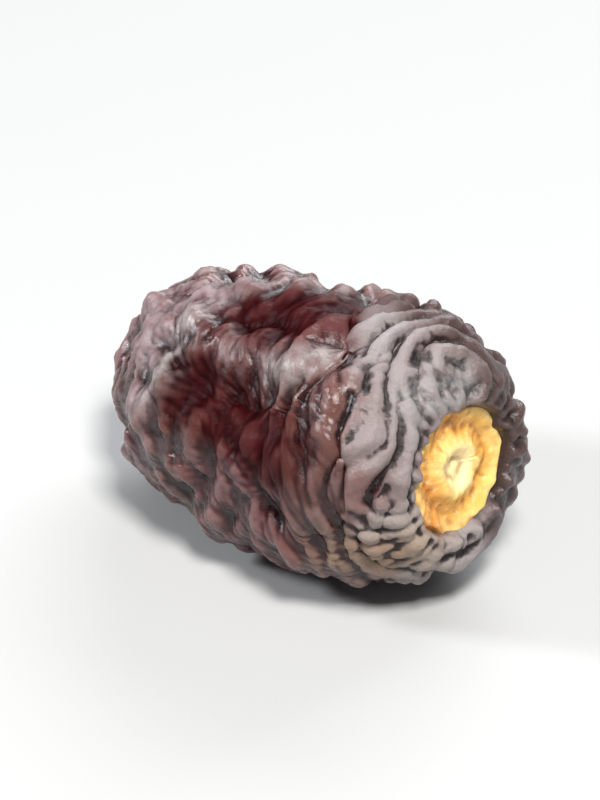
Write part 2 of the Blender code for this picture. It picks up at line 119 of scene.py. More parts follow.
SWELLINGS = (
    ((10.6, -6.3, 6.5), (13.4, -7.2, 2.6), 1.8, 0.40),
    ((5.4, -6.0, 7.4), (7.4, -5.0, 8.0), 1.2, 0.35),
    ((-3.3, -8.8, 3.6), (-5.5, -8.2, 2.0), 2.8, 0.40),
    ((-4.5, -1.5, 8.6), (-2.0, 1.0, 9.0), 2.6, 0.45),
    ((3.0, -9.2, -3.6), (6.0, -9.3, -4.0), 2.6, 0.35),
    ((1.5, 0.0, -9.2), (7.0, 0.0, -9.6), 5.5, 0.75),
    ((10.0, 1.0, 8.8), (11.5, 4.0, 7.6), 2.2, 0.35),
    ((-2.0, 9.4, 2.0), (0.0, 9.2, 4.0), 2.6, 0.35),
)
# Single strong ridges as (radius, height, places that the ridge runs through) in millimetres.
RIDGES = (
    (0.90, 0.50, ((4.4, -5.9, 7.4), (6.4, -5.8, 7.6), (7.9, -5.0, 7.9))),
    (0.90, 0.45, ((9.8, 8.3, 4.9), (14.8, 4.4, 4.4))),
    (0.70, 0.55, ((13.0, -8.4, -1.2), (15.0, -5.6, -0.8))),
    (0.70, 0.40, ((4.9, -9.8, -1.8), (4.0, -8.0, -5.6))),
    (0.95, 0.50, ((-5.1, -8.7, 3.0), (-4.6, -7.3, 5.4), (-4.2, -4.9, 7.5))),
    (0.70, 0.40, ((-1.8, -9.8, -0.2), (-0.6, -9.6, -2.0))),
    (0.70, 0.40, ((6.3, -10.0, 0.8), (7.8, -9.6, 2.6))),
    (0.80, 0.40, ((-7.4, -8.6, 0.4), (-7.6, -7.4, -3.9))),
    (0.55, 0.95, ((14.5, -4.5, 4.4), (14.5, -6.0, 2.3), (14.4, -6.4, -1.0), (14.3, -5.2, -3.8))),
    (0.60, 0.95, ((13.1, -5.6, 6.2), (13.1, -7.6, 3.2), (12.9, -8.2, 0.2), (13.2, -7.2, -3.2))),
    (0.60, 0.80, ((10.9, -5.4, 7.6), (10.9, -8.0, 4.9), (10.6, -9.2, 1.6), (11.0, -9.2, -1.4))),
)
RIDGE_ROOM = 1.1
ROLL_SPACING = 11.0 * MM
ROLL_HEIGHT = 0.28 * MM

# The folds that the solid has too.
FOLD_OVERLAP = 26
FOLD_SHARPNESS = 1.5
CLEAR_REACH = (0.1, 0.8)
FOLD_SPACING = 2.6 * MM
FOLD_HEIGHT = 0.95 * MM
CALM_SHARE = 0.62  # the folds' height on the calm part of the viewer's side
WIDE_FOLD_SPACING = 4.6 * MM
WIDE_FOLD_HEIGHT = 0.60 * MM
PUCKER_SPACING = 3.2 * MM
PUCKER_HEIGHT = 0.65 * MM
PUCKER_SHARPNESS = 9.0
FACET_SPACING = 5.2 * MM
FACET_HEIGHT = 0.75 * MM
WANDER = 1.1
RING_CLOSENESS = 0.84
RING_STRENGTH = 2.4
BACK_SHARE = 0.7
BACK_REACH = (-1.0 * MM, 5.0 * MM)
RING_SWAY = 0.85 * MM
FIRST_RING = 10.6 * MM

# Where the stem end's crumpled cap begins: x = CAP_START - CAP_SLANT * y, with y kept within CAP_REACH.
CAP_START = 7.1 * MM
CAP_SLANT = 0.62
CAP_REACH = (-9.0 * MM, 5.0 * MM)
CAP_SOFTNESS = 1.5 * MM
# A smooth place on the cap, as (start, end, radius) in millimetres.
SMOOTH_PLACE = ((14.2, -3.4, 6.2), (14.8, 1.0, 6.2), 1.3)
SMOOTH_LOSS = 0.5  # the share of the main folds' height that it loses
# Where small knobs crowd together, as (start, end, radius) in millimetres.
KNOBBY_PLACE = ((1.0, -9.6, -2.0), (10.0, -9.6, 0.5), 3.6)
# Where the small folds are deepest, as (start, end, radius) in millimetres.
CRUMPLED_PLACE = ((12.9, -6.2, 5.4), (12.7, -7.4, 1.8), 2.0)
# Where the ridges are tan, as (start, end, radius) in millimetres.
TAN_PLACE = ((14.3, -5.4, -3.8), (11.5, -8.6, -4.2), 3.0)

# The finer folds and puckers that only the skin has.
SMALL_FOLD_OVERLAP = 20
CREPE_OVERLAP = 14
SMALL_FOLD_SHARPNESS = 0.6  # below 1, folds are wide and their creases narrow
SMALL_CLEAR_REACH = (0.03, 0.30)
CAP_GAIN = 1.3  # added to the share of the small folds' height on the cap
CRUMPLED_GAIN = 1.7  # and on the crumpled place
KNOB_SPACING = 1.75 * MM
KNOB_HEIGHT = 0.24 * MM
SMALL_FOLD_SPACING = 1.30 * MM
SMALL_FOLD_HEIGHT = 0.19 * MM
SMALL_PUCKER_SPACING = 1.55 * MM
SMALL_PUCKER_HEIGHT = 0.09 * MM
CREPE_SPACING = 0.68 * MM
CREPE_HEIGHT = 0.08 * MM
# The finer relief fades where the cosine between the skin's normal and the plump fruit's is between these.
STEEP_REACH = (0.20, 0.75)
# Rounds of averaging that tell a small fold, or a broad one, from its surroundings.
FINE_ROUNDS = 12
BROAD_ROUNDS = 60
HUSK_ROUNDS = 8

# Between these, the cap's colour sets in past its line, the far side's painted shade begins along Y and,
# towards the stem end, along X, and the upper side's extra dust and bloom, which are partly painted light,
# end along X.
CAP_COLOUR_REACH = (-0.5 * MM, 3.6 * MM)
FAR_SIDE_REACH = (0.2 * MM, 4.0 * MM)
FAR_STEM_REACH = (4.0 * MM, 9.0 * MM)
UPPER_REACH = (6.0 * MM, 0.0)

# The hollows whose skin shows the fruit's wine red, darkened there partly as painted shade, as (start, end,
# radius) in millimetres.
RED_HOLLOWS = (
    ((0.6, -3.0, 8.9), (6.4, 1.0, 9.3), 3.4),
    ((-2.5, -8.0, 5.0), (7.5, -9.0, 3.0), 2.8),
)

# Ridges with a painted pale highlight, as (start, end, radius) in millimetres.
HIGHLIGHT_RIDGES = (
    ((4.6, -6.0, 7.4), (6.4, -5.8, 7.6), 0.9),
    ((6.4, -5.8, 7.6), (8.0, -5.0, 7.9), 0.9),
    ((-5.3, -8.4, 3.8), (-4.6, -7.3, 5.4), 1.0),
    ((-4.6, -7.3, 5.4), (-4.2, -4.9, 7.5), 1.0),
)

# Noises as (waves to the metre, detail, roughness).
BLOTCH_NOISE = (110.0, 3.0, 0.5)
VEIL_NOISE = (190.0, 5.0, 0.7)
MOTTLE_NOISE = (260.0, 4.0, 0.65)
CRINKLE_NOISE = (1300.0, 6.0, 0.62)
SPECK_NOISE = (1400.0, 3.0, 0.6)
HUSK_BLOTCH_NOISE = (420.0, 3.0, 0.6)
STREAK_NOISE = (2600.0, 4.0, 0.65)
CRINKLE_HEIGHT = 0.35 * MM
STREAK_HEIGHT = 0.08 * MM

# The skin's colours by the relief's height, where 0.5 is level: darker into the creases as painted shade and
# lighter on the ridges as painted light, over the skin's own maroon, wine red and the cap's grey bloom.
BROWN_STOPS = (
    (0.30, (0.005, 0.0010, 0.0010)),
    (0.46, (0.018, 0.0042, 0.0040)),
    (0.58, (0.042, 0.0110, 0.0095)),
    (0.76, (0.112, 0.046, 0.037)),
)
MAROON_STOPS = (
    (0.30, (0.006, 0.0006, 0.0008)),
    (0.46, (0.027, 0.0030, 0.0042)),
    (0.58, (0.056, 0.0080, 0.0100)),
    (0.76, (0.125, 0.042, 0.042)),
)
# Darker than the maroon stops: the fruit's own wine red with painted shade in the hollows.
WINE_STOPS = (
    (0.25, (0.007, 0.0004, 0.0007)),
    (0.50, (0.023, 0.0012, 0.0022)),
    (0.78, (0.038, 0.0040, 0.0050)),
)
CAP_STOPS = (
    (0.26, (0.018, 0.010, 0.010)),
    (0.40, (0.042, 0.029, 0.029)),
    (0.50, (0.100, 0.079, 0.079)),
    (0.68, (0.270, 0.238, 0.236)),
)
DUST_AND_HIGHLIGHT_COLOUR = (0.31, 0.225, 0.230)
BLOOM_AND_SHEEN_COLOUR = (0.235, 0.165, 0.170)
RIDGE_HIGHLIGHT_COLOUR = (0.27, 0.245, 0.235)
TAN_COLOUR = (0.33, 0.235, 0.145)
FAR_SHADE_COLOUR = (0.030, 0.019, 0.017)
CHALK_AND_HIGHLIGHT_COLOUR = (0.28, 0.275, 0.27)

# The husk's colours by the share of the disc's radius. The orange brown in the groove and at the edge is
# partly the husk's own colour and partly painted shade.
HUSK_STOPS = (
    (0.00, (0.86, 0.70, 0.36)),
    (0.20, (0.90, 0.74, 0.38)),
    (0.42, (0.86, 0.56, 0.16)),
    (0.60, (0.70, 0.33, 0.055)),
    (0.76, (0.84, 0.50, 0.11)),
    (0.90, (0.88, 0.62, 0.22)),
    (1.00, (0.40, 0.17, 0.035)),
)
WARM_COLOUR = (0.58, 0.20, 0.020)
CREASE_SHADE_COLOUR = (0.22, 0.075, 0.012)
STRAW_COLOUR = (0.95, 0.84, 0.55)

# The camera.
VIEW_AZIMUTH = math.radians(43.0)
VIEW_ELEVATION = math.radians(32.0)
CAMERA_LENS = 200.0
CAMERA_DISTANCE = 0.290

# The studio. A light is (name, offset from the fruit's middle, width and height, watts, colour).
FLOOR_COLOUR = (0.44, 0.44, 0.435)
FLOOR_ROUGHNESS = 0.75
WORLD_COLOUR = (0.80, 0.86, 0.95)
WORLD_STRENGTH = 0.14
LIGHTS = (
    ("key", (0.16, -0.10, 0.30), (0.08, 0.08), 2.0, (1.0, 0.985, 0.96)),
    ("fill", (-0.25, -0.22, 0.20), (0.07, 0.07), 1.25, (0.93, 0.96, 1.0)),
    ("back", (-0.10, 0.28, 0.20), (0.30, 0.18), 1.2, (0.95, 0.98, 1.0)),
)


def unit(vectors):
    """The vectors at length 1."""
    return vectors / np.linalg.norm(vectors, axis=1, keepdims=True)


def smooth_step(low, high, values):
    """0 up to low and 1 from high, with a smooth rise between."""
    t = np.clip((values - low) / (high - low), 0.0, 1.0)
    return t * t * (3.0 - 2.0 * t)


def undulation(points, spacing, seed, waves=28):
    """A smooth random field of about that spacing and of unit spread, made of plane waves all round."""
    rng = np.random.default_rng(seed)
    pitch = 2.0 * math.pi / spacing * rng.uniform(0.7, 1.3, (waves, 1))
    vectors = unit(rng.normal(size=(waves, 3))) * pitch
    phases = rng.uniform(0.0, 2.0 * math.pi, waves)
    return np.sin(points @ vectors.T + phases).sum(axis=1) / math.sqrt(waves / 2.0)


def plump_surface(directions):
    """Points of the plump fruit for points of the unit sphere."""
    half_axes = np.array((HALF_LENGTH, HALF_WIDTH, HALF_HEIGHT))
    aim = unit(directions * half_axes)
    across = np.hypot(aim[:, 1] / HALF_WIDTH, aim[:, 2] / HALF_HEIGHT)
    along = np.abs(aim[:, 0]) / HALF_LENGTH
    blunt = APEX_BLUNTNESS + (STEM_BLUNTNESS - APEX_BLUNTNESS) * smooth_step(-0.5, 0.8, aim[:, 0])
    reach = (along**blunt + across**blunt) ** (-1.0 / blunt)
    points = aim * reach[:, None]
    share = points[:, 0] / HALF_LENGTH
    points[:, 1:] *= (1.0 + STEM_TAPER * share)[:, None]
    points[:, 2] += BEND * share**2
    from_apex = np.arccos(np.clip(-aim[:, 0], -1.0, 1.0))
    points[:, 0] -= TIP_HEIGHT * np.exp(-((from_apex / TIP_SPREAD) ** 2))
    return points


def outward(points):
    """The plump fruit's outward direction, taken from its half axes."""
    return unit(points / np.array((HALF_LENGTH, HALF_WIDTH, HALF_HEIGHT)) ** 2)


def axis_distance(points):
    """Distance from the long axis."""
    return np.hypot(points[:, 1], points[:, 2])


def seat_share(points):
    """1 on the perianth's seat, 0 outside its ragged edge, and between on the edge."""
    edge = SEAT_RADIUS + SEAT_RAGGEDNESS * undulation(points, 2.6 * MM, seed=111)
    on_seat = 1.0 - smooth_step(0.0, SEAT_EDGE, axis_distance(points) - edge)
    return on_seat * (points[:, 0] > 0.0)


def rim_share(points):
    """1 on the skin right round the perianth and 0 away from it."""
    return (1.0 - smooth_step(*RIM_REACH, axis_distance(points))) * (points[:, 0] > 0.0)


def line_distance(points, start, end):
    """Distance from the line between two places."""
    start, end = np.array(start), np.array(end)
    share = np.clip((points - start) @ (end - start) / ((end - start) ** 2).sum(), 0.0, 1.0)
    return np.linalg.norm(points - start - share[:, None] * (end - start), axis=1)


def broad_form(points):
    """How far hollows, swellings and low rolls move the surface outwards."""
    height = ROLL_HEIGHT * undulation(points, ROLL_SPACING, seed=11)
    for sign, group in ((-1.0, HOLLOWS), (1.0, SWELLINGS)):
        for start, end, radius, depth in group:
            distance = line_distance(points / MM, start, end)
            height += sign * depth * MM * np.exp(-((distance / radius) ** 2))
    return height


def cap_distance(points):
    """How far the points are past the line where the stem end's crumpled cap begins."""
    return points[:, 0] + CAP_SLANT * np.clip(points[:, 1], *CAP_REACH) - CAP_START


def nearness(points, place):
    """1 on a place given as (start, end, radius) in millimetres and 0 away from it."""
    start, end, radius = place
    return np.exp(-((line_distance(points / MM, start, end) / radius) ** 2))


def ridge_height(points):
    """How far the single ridges lift the skin, and 1 along them falling to 0 some way off."""
    height = np.zeros(len(points))
    near_ridge = np.zeros(len(points))
    for radius, rise, places in RIDGES:
        legs = zip(places[:-1], places[1:])
        distance = np.min([line_distance(points / MM, start, end) for start, end in legs], axis=0)
        height = np.maximum(height, rise * MM * np.exp(-((distance / radius) ** 2)))
        near_ridge = np.maximum(near_ridge, np.exp(-((distance / RIDGE_ROOM) ** 2)))
    return height, near_ridge


def packet_centres(reach, overlap, seed):
    """Random points on the plump fruit, about overlap of them within reach of any place, and their rng."""
    area = 4.0 * math.pi * (HALF_LENGTH * HALF_WIDTH * HALF_HEIGHT) ** (2.0 / 3.0)
    count = int(overlap * area / (math.pi * reach**2))
    rng = np.random.default_rng(seed)
    return plump_surface(unit(rng.normal(size=(count, 3)))), rng


def crossing_directions(points, seed):
    """Unit vectors in the surface that run across the folds.

    The folds point at the perianth close to its edge, ring the fruit over its stem half, wander over its
    apex half and run together at the apex.
    """
    normals = outward(points)
    axis = np.array((1.0, 0.0, 0.0))
    lengthwise = axis - normals * (normals @ axis)[:, None]
    lengthwise /= np.maximum(np.linalg.norm(lengthwise, axis=1, keepdims=True), 1e-6)
    sideways = np.cross(normals, lengthwise)
    by_rim = rim_share(points)
    by_apex = smooth_step(0.10, -0.75, points[:, 0] / HALF_LENGTH)
    turn = np.radians(10.0 + 78.0 * np.maximum(by_rim, by_apex))
    turn += WANDER * undulation(points, 9.0 * MM, seed) * (1.0 - 0.6 * by_rim) * (0.45 + 0.55 * by_apex)
    return lengthwise * np.cos(turn)[:, None] + sideways * np.sin(turn)[:, None]


def ring_share(points):
    """How much of the folds on the stem end's third are rings round the perianth: none elsewhere."""
    return smooth_step(0.28, 0.50, points[:, 0] / HALF_LENGTH) * (1.0 - rim_share(points))


def ring_phase(points, spacing, seed):
    """The phase of waves that run out over the skin from the middle of the stem end, with a slow sway."""
    angles = np.linspace(0.0, math.pi, 400)
    profile = plump_surface(np.stack((np.cos(angles), np.sin(angles), np.zeros(400)), axis=1))
    ways = np.concatenate(([0.0], np.linalg.norm(np.diff(profile, axis=0), axis=1).cumsum()))
    bearings = np.arctan2(axis_distance(profile), profile[:, 0])
    way = np.interp(np.arctan2(axis_distance(points), points[:, 0]), bearings, ways)
    way += RING_SWAY * undulation(points, 8.0 * MM, seed) - FIRST_RING
    return 2.0 * math.pi / spacing * way


def points_near(points, centres, reach):
    """Yields each centre's index and the indices of the points within reach of it along X."""
    order = np.argsort(points[:, 0])
    places = points[order, 0]
    first = np.searchsorted(places, centres[:, 0] - reach)
    last = np.searchsorted(places, centres[:, 0] + reach)
    for index in range(len(centres)):
        yield index, order[first[index] : last[index]]


def folds(points, spacing, overlap, seed, ring_strength=0.0, clear_reach=CLEAR_REACH):
    """Long parallel folds that branch and end: 1 along their crests and 0 in their creases.

    Wave packets that cross the folds are laid over the skin at random, and the folds follow the phase of
    their sum. Where the packets cancel each other, so that the sum's size is low in clear_reach, the skin
    lies at a middling height.
    """
    reach = 1.5 * spacing
    centres, rng = packet_centres(reach, overlap, seed)
    phases = rng.uniform(0.0, 2.0 * math.pi, len(centres))
    pitches = 2.0 * math.pi / spacing * rng.uniform(0.85, 1.2, len(centres))
    waves = crossing_directions(centres, seed + 1) * pitches[:, None]
    total = np.zeros(len(points), complex)
    for index, near in points_near(points, centres, reach):
        offset = points[near] - centres[index]
        weight = np.exp(-3.5 * (offset**2).sum(axis=1) / reach**2)
        total[near] += weight * np.exp(1j * (offset @ waves[index] + phases[index]))
    total /= np.abs(total).mean()
    rings = np.exp(1j * ring_phase(points, spacing * RING_CLOSENESS, seed + 2))
    total += ring_strength * ring_share(points) * rings
    crest = 0.5 + 0.5 * np.cos(np.angle(total))
    clear = smooth_step(*clear_reach, np.abs(total))
    return crest * clear + 0.35 * (1.0 - clear)


def puckers(points, spacing, seed, stretch=1.7):
    """Shallow hollows that meet in ridges, longer along the folds: 0 in the hollows and 1 on the ridges."""
    reach = 1.6 * spacing
    centres = packet_centres(reach, 0.95 * (reach / spacing) ** 2 * math.pi, seed)[0]
    across = crossing_directions(centres, seed + 1)
    total = np.full(len(points), 1e-9)
    for index, near in points_near(points, centres, reach):
        offset = (points[near] - centres[index]) / spacing
        squared = (offset**2).sum(axis=1) + (stretch**2 - 1.0) * (offset @ across[index]) ** 2
        total[near] += np.exp(-PUCKER_SHARPNESS * squared)
    nearest = np.clip(-np.log(total) / PUCKER_SHARPNESS, 0.0, None)
    return np.clip(nearest / 0.75, 0.0, 1.0)


def calm_share(points, by_rim=0.0, by_smooth=0.0):
    """How much of the folds' height is left.

    None is left on the seat and little underneath. The seat's surroundings lose the share by_rim, and the
    smooth place loses by_smooth.
    """
    underneath = smooth_step(-0.93, -0.80, outward(points)[:, 2])
    share = (1.0 - seat_share(points)) * (1.0 - by_rim * rim_share(points)) * (0.25 + 0.75 * underneath)
    return share * (1.0 - by_smooth * nearness(points, SMOOTH_PLACE))


def strong_share(points):
    """1 on the crumpled cap, whose folds are strong, less on the back and 0 on the calm part."""
    on_cap = smooth_step(-CAP_SOFTNESS, CAP_SOFTNESS, cap_distance(points))
    on_back = smooth_step(*BACK_REACH, points[:, 1])
    return np.maximum(on_cap, BACK_SHARE * on_back)


def fold_height(points):
    """How far the folds and puckers lift the skin."""
    on_cap = smooth_step(-CAP_SOFTNESS, CAP_SOFTNESS, cap_distance(points))
    strong = strong_share(points)
    folded = smooth_step(-1.6, 0.9, undulation(points, 7.5 * MM, seed=21) + 2.0 * on_cap)
    fold_share = (0.35 + 0.65 * folded) * (CALM_SHARE + (1.0 - CALM_SHARE) * strong)
    ridges, near_ridge = ridge_height(points)
    fold_share *= 1.0 - 0.75 * near_ridge
    main_folds = folds(points, FOLD_SPACING, FOLD_OVERLAP, seed=31, ring_strength=RING_STRENGTH)
    wide_folds = folds(points, WIDE_FOLD_SPACING, FOLD_OVERLAP, seed=36)
    height = ridges + FOLD_HEIGHT * fold_share * main_folds**FOLD_SHARPNESS
    height += WIDE_FOLD_HEIGHT * (1.0 - strong) * wide_folds**FOLD_SHARPNESS
    height += PUCKER_HEIGHT * (1.0 - 0.6 * folded) * puckers(points, PUCKER_SPACING, seed=41)
    height += FACET_HEIGHT * (1.0 - 0.6 * on_cap) * puckers(points, FACET_SPACING, seed=51, stretch=1.3)
    return height * calm_share(points, RIM_LOSS, SMOOTH_LOSS)


def small_fold_height(points):
    """How far the finer folds and puckers lift the skin."""
    strong = strong_share(points)
    patchy = smooth_step(-1.2, 1.2, undulation(points, 5.0 * MM, seed=91)) * (0.3 + 0.7 * strong)
    small_folds = folds(
        points, SMALL_FOLD_SPACING, SMALL_FOLD_OVERLAP, seed=61, clear_reach=SMALL_CLEAR_REACH
    )
    small_folds = small_folds**SMALL_FOLD_SHARPNESS
    small_puckers = puckers(points, SMALL_PUCKER_SPACING, seed=71, stretch=1.5)
    on_cap = smooth_step(-CAP_SOFTNESS, CAP_SOFTNESS, cap_distance(points))
    crumpled = CAP_GAIN * on_cap + CRUMPLED_GAIN * nearness(points, CRUMPLED_PLACE)
    height = SMALL_FOLD_HEIGHT * (0.35 + 0.65 * patchy + crumpled) * small_folds
    height += SMALL_PUCKER_HEIGHT * (1.0 - 0.6 * patchy + 1.2 * on_cap) * small_puckers
    knobby = smooth_step(-0.2, 1.2, undulation(points, 6.0 * MM, seed=95))
    knobby = np.maximum(knobby, nearness(points, KNOBBY_PLACE))
    knobs = 1.0 - puckers(points, KNOB_SPACING, seed=76, stretch=1.25)
    height += KNOB_HEIGHT * knobby * (1.0 - 0.8 * strong) * knobs
    return height * calm_share(points)


def crepe_height(points):
    """How far the finest crinkles lift the skin."""
    crinkles = folds(points, CREPE_SPACING, CREPE_OVERLAP, seed=81) ** SMALL_FOLD_SHARPNESS
    return CREPE_HEIGHT * crinkles * calm_share(points)


def seated(points):
    """Flattens the perianth's seat and raises the shoulder round it."""
    share = seat_share(points)
    away = (axis_distance(points) - SHOULDER_RADIUS) / SHOULDER_SPREAD
    shoulder = SHOULDER_HEIGHT * np.exp(-(away**2)) * (points[:, 0] > 0.0) * (1.0 - share)
    result = points.copy()
    result[:, 0] += shoulder
    result[:, 0] = result[:, 0] * (1.0 - share) + SEAT_X * share
    return result


def laid_down(points):
    """Turns the fruit to its rest pose and presses its underside flat."""
    turn = np.array(Matrix.Rotation(-REST_PITCH, 3, "Y"))
    result = points @ turn.T
    result[:, 2] = np.maximum(result[:, 2], result[:, 2].min() + FLAT_DEPTH)
    return result


def ball_direction(corner):
    """A point of the cube's surface moved onto the unit ball, so that the points lie evenly on the fruit.

    On the side of the stem end, the square rings of the grid become round near the middle, so that they
    follow the edge of the perianth's seat. They stay round when the ball is stretched to the fruit's size.
    """
    along = corner.x + ROW_SHIFT * (1.0 - corner.x**2)
    x = max(math.tan(along * math.pi / 4.0), along)
    y, z = (math.tan(c * math.pi / 4.0) for c in corner.yz)
    if corner.x > 0.999 and max(abs(y), abs(z)) > 0.0:
        ring = max(abs(corner.y), abs(corner.z))
        radius = math.tan(ring**RING_CROWDING * math.pi / 4.0)
        spread = radius / math.tan(ring * math.pi / 4.0)
        if abs(corner.y) >= abs(corner.z):
            half_turn = math.pi if corner.y < 0.0 else 0.0
            angle = math.pi / 4.0 * corner.z / corner.y + half_turn
        else:
            half_turn = math.pi if corner.z < 0.0 else 0.0
            angle = math.pi / 2.0 - math.pi / 4.0 * corner.y / corner.z + half_turn
        square = float(smooth_step(ROUND_RINGS, 1.0, ring))
        half_girth = math.sqrt(HALF_WIDTH * HALF_HEIGHT)
        y = y * spread * square + radius * math.cos(angle) * (1.0 - square) * half_girth / HALF_WIDTH
        z = z * spread * square + radius * math.sin(angle) * (1.0 - square) * half_girth / HALF_HEIGHT
    return Vector((x, y, z)).normalized()


def cube_grid_mesh(sides, rows):
    """A cube cut into squares and rounded into a ball, with more rows along X because the fruit is long."""
    grid = bmesh.new()
    bmesh.ops.create_cube(grid, size=2.0)
    lengthwise = [edge for edge in grid.edges if abs(edge.verts[0].co.x - edge.verts[1].co.x) > 1.0]
    bmesh.ops.subdivide_edges(grid, edges=lengthwise, cuts=rows - 1)
    crosswise = [edge for edge in grid.edges if abs(edge.verts[0].co.x - edge.verts[1].co.x) < 1e-3]
    bmesh.ops.subdivide_edges(grid, edges=crosswise, cuts=sides - 1, use_grid_fill=True)
    for vertex in grid.verts:
        vertex.co = ball_direction(vertex.co)
    bmesh.ops.recalc_face_normals(grid, faces=grid.faces[:])
    grid.verts.index_update()
    return grid


def vertex_array(grid):
    """The vertices' places as an array."""
    return np.array([vertex.co[:] for vertex in grid.verts])


def vertex_normals(grid):
    """The vertices' normals as an array."""
    return np.array([vertex.normal[:] for vertex in grid.verts])


def place_vertices(grid, points):
    """Moves the vertices to those places."""
    for vertex, point in zip(grid.verts, points):
        vertex.co = point
    grid.normal_update()


def raise_skin(grid, height, lengthwise):
    """Moves each vertex along its own normal, which is turned to +X by that share."""
    for vertex, rise, share in zip(grid.verts, height, lengthwise):
        vertex.co += vertex.normal.lerp(Vector((1.0, 0.0, 0.0)), share) * rise
    grid.normal_update()


def smoothed(grid, factor):
    """Draws each vertex to its neighbours."""
    bmesh.ops.smooth_vert(
        grid, verts=grid.verts[:], factor=factor, use_axis_x=True, use_axis_y=True, use_axis_z=True
    )
    grid.normal_update()


def surroundings(points, edges, rounds):
    """The mean place of each point's surroundings, which grow with the rounds."""
    count = len(points)
    degree = np.bincount(edges.ravel(), minlength=count)[:, None]
    mean = points.copy()
    for _ in range(rounds):
        total = np.stack(
            [
                np.bincount(edges[:, 0], mean[edges[:, 1], axis], count)
                + np.bincount(edges[:, 1], mean[edges[:, 0], axis], count)
                for axis in range(3)
            ],
            axis=1,
        )
        mean = 0.5 * mean + 0.5 * total / degree
    return mean


def relief(points, normals, edges, rounds):
    """How far each point stands out of its surroundings: 0 in a crease, 0.5 level and 1 on a high ridge."""
    height = ((points - surroundings(points, edges, rounds)) * normals).sum(axis=1)
    return np.clip(0.5 + height / (5.0 * height.std()), 0.0, 1.0)


def add_attribute(mesh, name, values):
    """Stores one number a vertex, which the material reads."""
    attribute = mesh.attributes.new(name, "FLOAT", "POINT")
    attribute.data.foreach_set("value", np.asarray(values, np.float32))


def skin_points(grid):
    """The wrinkled fruit's points in its own axes, and the plump fruit's. The grid is moved to them."""
    plump = plump_surface(vertex_array(grid))
    place_vertices(grid, plump)
    by_seat = (1.0 - smooth_step(*AXIAL_REACH, axis_distance(plump))) * (plump[:, 0] > 0.0)
    raise_skin(grid, broad_form(plump), by_seat)
    place_vertices(grid, seated(vertex_array(grid)))
    raise_skin(grid, fold_height(plump), by_seat)
    for _ in range(SMOOTHING_ROUNDS):
        smoothed(grid, SMOOTHING)
    steep = 1.0 - smooth_step(*STEEP_REACH, (vertex_normals(grid) * outward(plump)).sum(axis=1))
    raise_skin(grid, small_fold_height(plump) * (1.0 - steep), by_seat)
    smoothed(grid, SMOOTHING)
    raise_skin(grid, crepe_height(plump) * (1.0 - steep), by_seat)
    return vertex_array(grid), plump


def nearest_share(plump, places):
    """1 on those places and 0 away from them."""
    return np.max([nearness(plump, place) for place in places], axis=0)


def mark_skin(mesh, plump):
    """Stores at each vertex how much it belongs to each kind of place on the plump fruit."""
    add_attribute(mesh, "wine", nearest_share(plump, RED_HOLLOWS))
    # Where single ridges carry a painted pale highlight.
    add_attribute(mesh, "pale", nearest_share(plump, HIGHLIGHT_RIDGES))
    on_cap = cap_distance(plump) + 1.0 * MM * undulation(plump, 5.0 * MM, seed=101)
    # The far side gets painted shade: the cap's pale colour fades there and a dark colour is laid over it.
    far_side_shade = smooth_step(*FAR_SIDE_REACH, plump[:, 1])
    add_attribute(mesh, "cap", smooth_step(*CAP_COLOUR_REACH, on_cap) * (1.0 - 0.75 * far_side_shade))
    # The chalky smooth place, partly bloom and partly painted highlight.
    add_attribute(mesh, "smooth", nearness(plump, SMOOTH_PLACE))
    add_attribute(mesh, "tan", nearness(plump, TAN_PLACE))
    # The upper side of the apex half, where dust and bloom are laid on more thickly as painted light from
    # above.
    lit_upper_side = smooth_step(-0.1, 0.7, outward(plump)[:, 2])
    add_attribute(mesh, "upper", lit_upper_side * smooth_step(*UPPER_REACH, plump[:, 0]))
    add_attribute(mesh, "far", far_side_shade * smooth_step(*FAR_STEM_REACH, plump[:, 0]))


def finished_mesh(grid, name):
    """The grid as a smooth mesh, with its normals and edges as arrays. The grid is freed."""
    normals = vertex_normals(grid)
    edges = np.array([(edge.verts[0].index, edge.verts[1].index) for edge in grid.edges])
    mesh = bpy.data.meshes.new(name)
    grid.to_mesh(mesh)
    grid.free()
    mesh.shade_smooth()
    return mesh, normals, edges


def build_skin():
    """The skin's mesh in the fruit node's box, and the scale and shift that brought it there."""
    grid = cube_grid_mesh(GRID_SIDES, GRID_ROWS)
    points, plump = skin_points(grid)
    points = laid_down(points)
    low, high = points.min(axis=0), points.max(axis=0)
    box_low, box_high = (np.array(corner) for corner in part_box("date_fruit"))
    scale = (box_high - box_low) / (high - low)
    shift = box_low - low * scale
    points = points * scale + shift
    place_vertices(grid, points)
    mesh, normals, edges = finished_mesh(grid, "skin")
    add_attribute(mesh, "fine", relief(points, normals, edges, FINE_ROUNDS))
    add_attribute(mesh, "broad", relief(points, normals, edges, BROAD_ROUNDS))
    mark_skin(mesh, plump)
    return mesh, scale, shift


def new_object(name, mesh):
    """Adds the mesh to the scene."""
    made = bpy.data.objects.new(name, mesh)
    bpy.context.scene.collection.objects.link(made)
    return made


def eased(values, keys):
    """The height at each value, easing from each key's height to the next."""
    height = np.full(len(values), keys[0][1], float)
    for (start, low), (end, high) in zip(keys[:-1], keys[1:]):
        height += (high - low) * smooth_step(start, end, values)
    return height


def whorl_step(angles, offset):
    """Three petals that each lie over the next: rises slowly round each third and drops at its end."""
    turn = (DISC_LOBES * angles / (2.0 * math.pi) + offset) % 1.0
    return smooth_step(0.0, 0.94, turn) - smooth_step(0.94, 1.0, turn)


